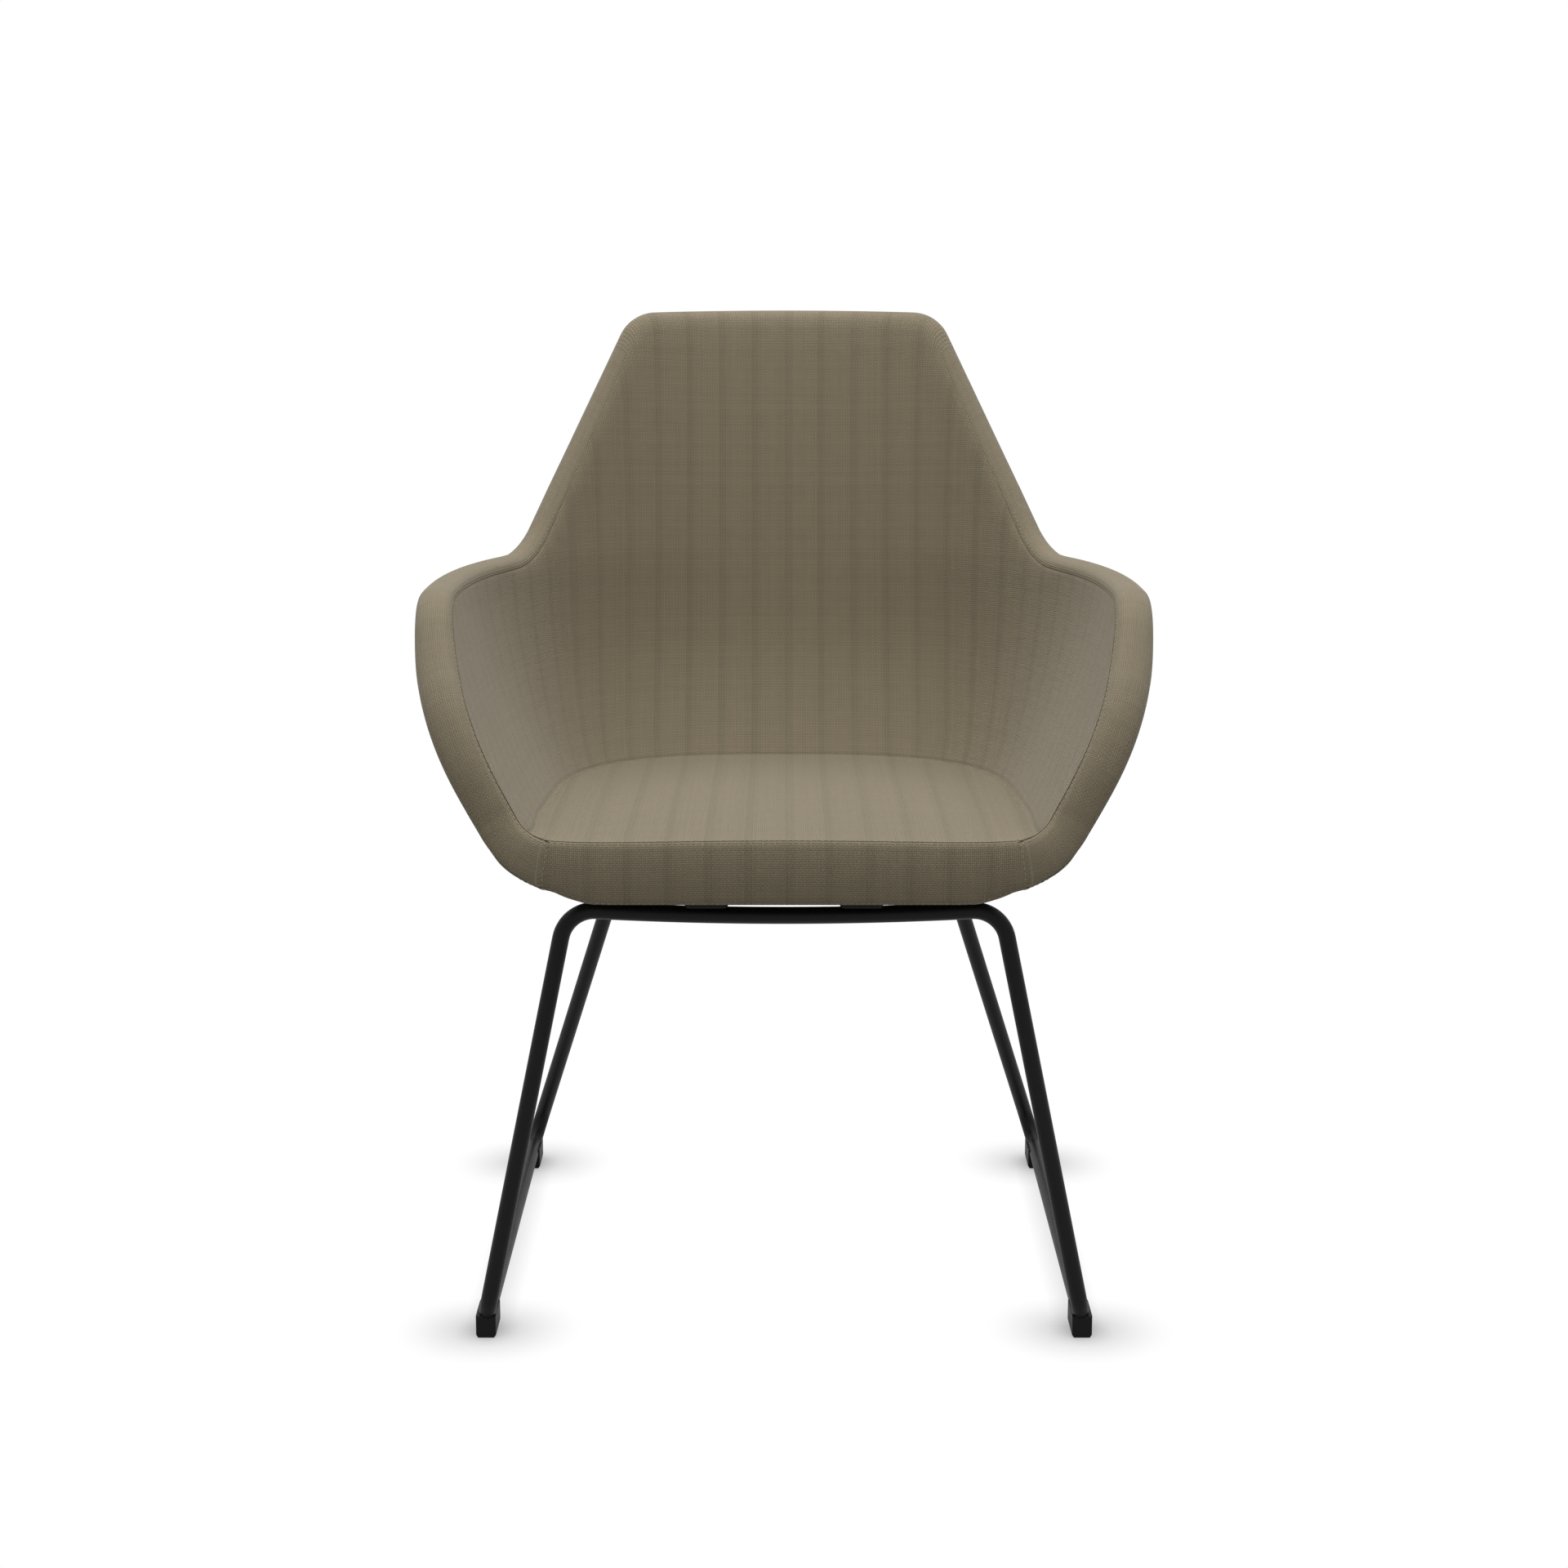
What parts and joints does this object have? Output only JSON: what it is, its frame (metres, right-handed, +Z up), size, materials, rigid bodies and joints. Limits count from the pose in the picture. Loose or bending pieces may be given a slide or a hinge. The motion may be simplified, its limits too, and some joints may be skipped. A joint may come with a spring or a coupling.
{
  "type": "visitor tub chair",
  "caption": "Upholstered tub chair with wrap-round arms and a tapering back, on a bent black rod sled base with plastic glides.",
  "frame": {"origin": "on the floor, under the middle of the chair's width and depth", "axes": "+Z up, -Y towards the front of the chair, +X to the right when looking along +Y from the front"},
  "size_m": [0.5948, 0.627, 0.8279],
  "materials": {
    "striped_weave": "matte",
    "plain_weave": "matte",
    "foam": "matte",
    "moulded_shell": "satin",
    "black_powder_coat": "satin",
    "zinc_plate": "satin",
    "black_plastic": "matte"
  },
  "bodies": {
    "root": {"shell_core": "moulded_shell", "foam_liner": "foam", "outer_padding": "foam", "seat_foam": "foam", "front_roll": "foam", "inner_cover": "striped_weave", "seat_cover": "striped_weave", "edge_band_left": "plain_weave", "edge_band_right": "plain_weave", "front_band": "striped_weave", "outer_cover": "striped_weave", "sled_frame_left": "black_powder_coat", "sled_frame_right": "black_powder_coat", "seat_strap_left": "black_powder_coat", "seat_strap_right": "black_powder_coat", "bolt_front_left": "zinc_plate", "bolt_front_right": "zinc_plate", "bolt_rear_left": "zinc_plate", "bolt_rear_right": "zinc_plate", "washer_front_left": "zinc_plate", "washer_front_right": "zinc_plate", "washer_rear_left": "zinc_plate", "washer_rear_right": "zinc_plate", "spacer_front_left": "zinc_plate", "spacer_front_right": "zinc_plate", "spacer_rear_left": "zinc_plate", "spacer_rear_right": "zinc_plate", "tee_nut_front_left": "zinc_plate", "tee_nut_front_right": "zinc_plate", "tee_nut_rear_left": "zinc_plate", "tee_nut_rear_right": "zinc_plate", "front_glide_left": "black_plastic", "front_glide_right": "black_plastic", "rear_glide_left": "black_plastic", "rear_glide_right": "black_plastic"}
  },
  "joints": []
}
